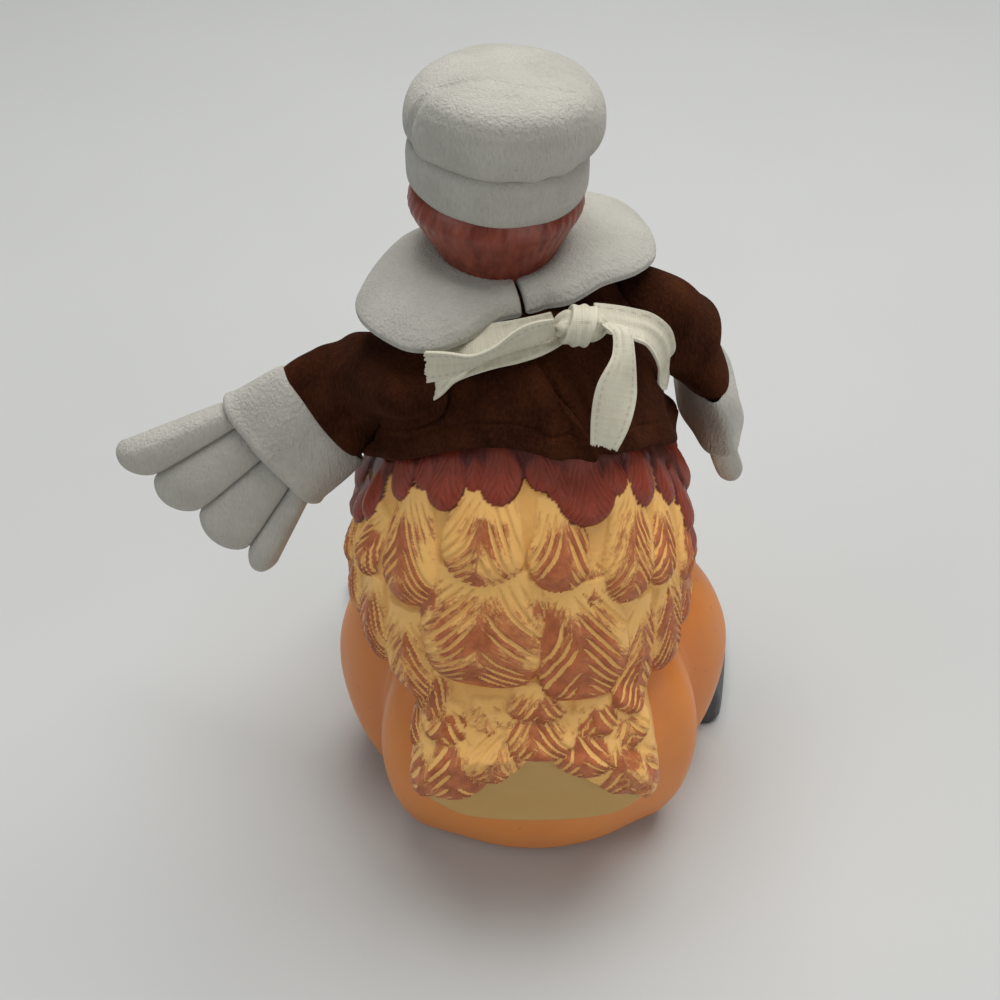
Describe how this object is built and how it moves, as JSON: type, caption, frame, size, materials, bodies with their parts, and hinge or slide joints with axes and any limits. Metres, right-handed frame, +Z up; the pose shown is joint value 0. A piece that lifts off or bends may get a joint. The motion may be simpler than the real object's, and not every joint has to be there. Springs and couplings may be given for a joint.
{
  "type": "dressed duck figurine",
  "caption": "Seated duck figurine on a pumpkin, cast and painted, dressed in a velour jacket, collar and cap with tied apron, stuffed arms and hands; a shelf decoration.",
  "frame": {"origin": "middle of the pumpkin's flat base, on the table", "axes": "+Z up; the figure faces -Y with its tail towards +Y; its left side is +X"},
  "size_m": [0.1945, 0.1559, 0.2422],
  "materials": {
    "pumpkin_paint": "satin orange paint",
    "feather_paint": "carved feathers, golden paint with red-brown dry brushing",
    "head_paint": "satin red-brown paint, brushed streaks",
    "bill_paint": "satin golden yellow paint",
    "eye_gloss": "gloss black",
    "white_velour": "off-white velour with short nap",
    "brown_velour": "dark brown velour with short nap",
    "muslin": "unbleached plain-weave muslin",
    "shoe_paint": "satin dark grey paint"
  },
  "bodies": {
    "figure": {"pumpkin_shell": "pumpkin_paint", "body_shell": "feather_paint", "head_shell": "head_paint", "upper_bill": "bill_paint", "lower_bill": "bill_paint", "eye_left": "eye_gloss", "eye_right": "eye_gloss", "jacket_front": "brown_velour", "jacket_back_left": "brown_velour", "jacket_back_right": "brown_velour", "collar_left": "white_velour", "collar_right": "white_velour", "tie_strap_left": "muslin", "tie_strap_right": "muslin", "apron_waistband": "muslin", "tie_knot": "muslin", "shoe_left": "shoe_paint", "leg_left": "bill_paint", "shoe_right": "shoe_paint", "leg_right": "bill_paint"},
    "left_arm": {"sleeve_left": "brown_velour", "cuff_left": "white_velour"},
    "left_hand": {"hand_left": "white_velour"},
    "right_arm": {"sleeve_right": "brown_velour", "cuff_right": "white_velour"},
    "right_hand": {"hand_right": "white_velour"},
    "left_tail": {"tie_tail_left": "muslin"},
    "right_tail": {"tie_tail_right": "muslin"},
    "apron": {"apron_panel": "muslin"},
    "cap": {"cap_band": "white_velour", "cap_crown": "white_velour"}
  },
  "joints": [
    {"name": "left_shoulder", "type": "hinge", "parent": "figure", "child": "left_arm", "pos_m": [0.041, 0.0043, 0.158], "axis": [0, -1, 0], "range_deg": [-6, 35]},
    {"name": "left_wrist", "type": "hinge", "parent": "left_arm", "child": "left_hand", "pos_m": [0.0762, 0.00905, 0.13204], "axis": [-0.5991, 0.1923, -0.7772], "range_deg": [-22, 22]},
    {"name": "right_shoulder", "type": "hinge", "parent": "figure", "child": "right_arm", "pos_m": [-0.0375, -0.013, 0.161], "axis": [0, 1, 0], "range_deg": [-3, 35]},
    {"name": "right_wrist", "type": "hinge", "parent": "right_arm", "child": "right_hand", "pos_m": [-0.05265, -0.02463, 0.12136], "axis": [-0.2148, 0.9563, -0.1984], "range_deg": [-22, 22]},
    {"name": "left_tail_swing", "type": "hinge", "parent": "figure", "child": "left_tail", "pos_m": [-0.00305, 0.0315, 0.1875], "axis": [0, 0, 1], "range_deg": [0, 45]},
    {"name": "right_tail_swing", "type": "hinge", "parent": "figure", "child": "right_tail", "pos_m": [-0.017, 0.0315, 0.1895], "axis": [1, 0, 0], "range_deg": [0, 50]},
    {"name": "apron_lift", "type": "hinge", "parent": "figure", "child": "apron", "pos_m": [0.001, -0.0466, 0.1362], "axis": [-1, 0, 0], "range_deg": [0, 50]},
    {"name": "cap_lift", "type": "slide", "parent": "figure", "child": "cap", "axis": [0, 0, 1], "range_m": [0, 0.045]}
  ]
}
